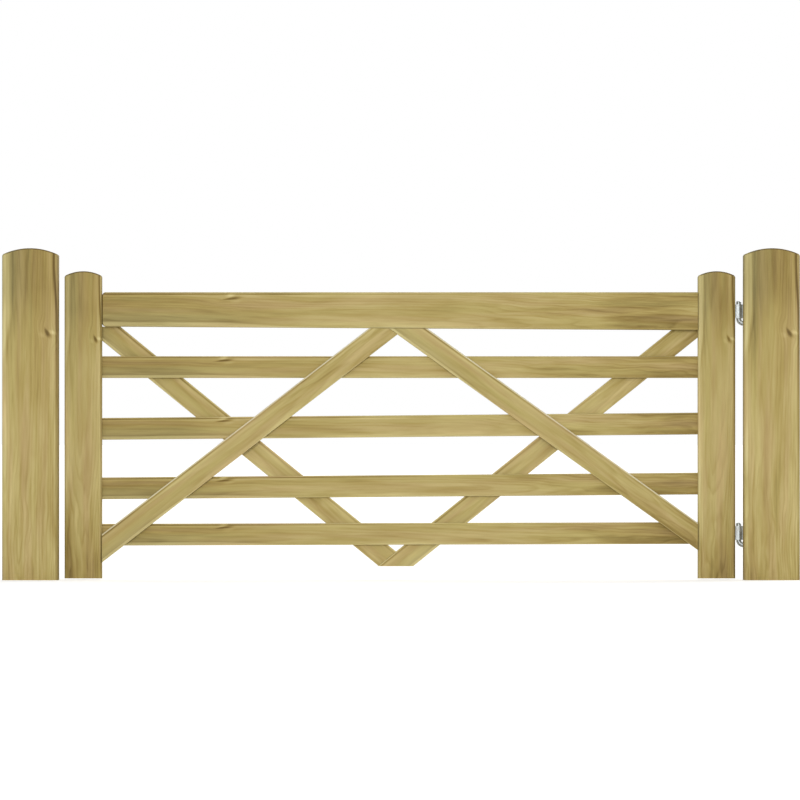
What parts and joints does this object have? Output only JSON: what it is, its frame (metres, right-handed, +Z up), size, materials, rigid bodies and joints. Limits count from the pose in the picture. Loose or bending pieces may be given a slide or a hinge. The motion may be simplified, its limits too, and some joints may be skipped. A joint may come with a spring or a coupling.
{
  "type": "timber five-bar gate",
  "caption": "Timber field gate between two square posts, braced front and back, swinging on hooks and bands.",
  "frame": {"origin": "middle of the hanging post's flat foot, at ground level", "axes": "+X along the closed gate away from the leaf, the leaf lies towards -X; -Y is the front face; +Z up"},
  "size_m": [2.848, 0.232, 1.1849],
  "materials": {
    "post_timber": "pressure-treated sawn softwood with planed faces",
    "leaf_timber": "pressure-treated planed softwood",
    "hinge_steel": "hot-dip galvanised"
  },
  "bodies": {
    "posts": {"hanging_post": "post_timber", "shutting_post": "post_timber", "top_hook": "hinge_steel", "bottom_hook": "hinge_steel"},
    "leaf": {"heel_stile": "leaf_timber", "head_stile": "leaf_timber", "top_rail": "leaf_timber", "second_rail": "leaf_timber", "third_rail": "leaf_timber", "fourth_rail": "leaf_timber", "bottom_rail": "leaf_timber", "heel_front_brace": "leaf_timber", "head_front_brace": "leaf_timber", "heel_back_brace": "leaf_timber", "head_back_brace": "leaf_timber", "top_band": "hinge_steel", "bottom_band": "hinge_steel"}
  },
  "joints": [
    {"name": "leaf_swing", "type": "hinge", "parent": "posts", "child": "leaf", "pos_m": [-0.114, 0.116, 0.961], "axis": [0, 0, -1], "range_deg": [0, 170]}
  ]
}
